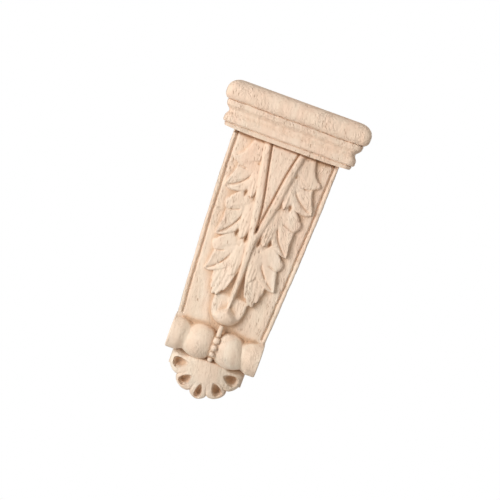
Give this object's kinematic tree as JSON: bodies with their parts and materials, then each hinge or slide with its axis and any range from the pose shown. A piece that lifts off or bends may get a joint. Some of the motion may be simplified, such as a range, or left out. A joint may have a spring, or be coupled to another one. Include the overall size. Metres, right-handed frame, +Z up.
{
  "type": "carved wooden corbel",
  "caption": "Small flat-backed carved corbel: moulded cap over a tapering acanthus panel, a turned bolster with a bead string and a lobed shell.",
  "frame": {"origin": "middle of the flat back, half-way up the corbel's height", "axes": "+Z up along the corbel towards its cap, +Y out of the flat back into the wall it is fixed to, so that the carved front looks towards -Y"},
  "size_m": [0.0506, 0.0195, 0.11],
  "materials": {
    "pale_wood": "bare, unsealed pale rubberwood with short dark pores and fine tool marks"
  },
  "bodies": {
    "root": {"carved_corbel": "pale_wood"}
  },
  "joints": []
}
